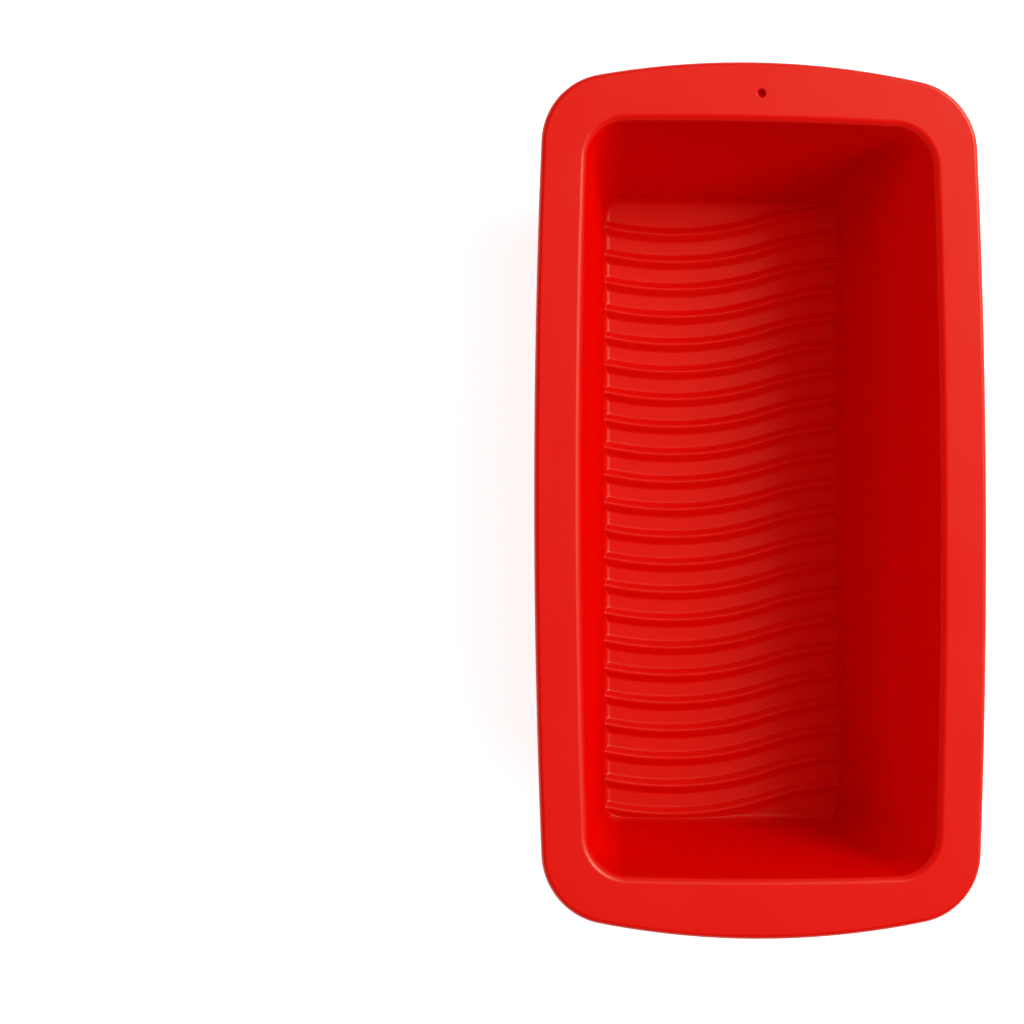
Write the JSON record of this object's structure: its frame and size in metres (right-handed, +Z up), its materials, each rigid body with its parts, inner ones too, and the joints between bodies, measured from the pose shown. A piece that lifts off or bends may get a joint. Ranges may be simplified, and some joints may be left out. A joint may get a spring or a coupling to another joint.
{
  "type": "silicone loaf pan",
  "caption": "Rectangular silicone loaf pan with a broad flat rim, sloping walls, raised wavy ridges on its floor and a small pin hole in the rim.",
  "frame": {"origin": "centre of the base, on the surface that the pan stands on", "axes": "+X across the pan, +Y along it towards the end with the pin hole, +Z up out of the cavity"},
  "size_m": [0.142, 0.27, 0.065],
  "materials": {
    "silicone": "satin"
  },
  "bodies": {
    "root": {"loaf_pan": "silicone"}
  },
  "joints": []
}
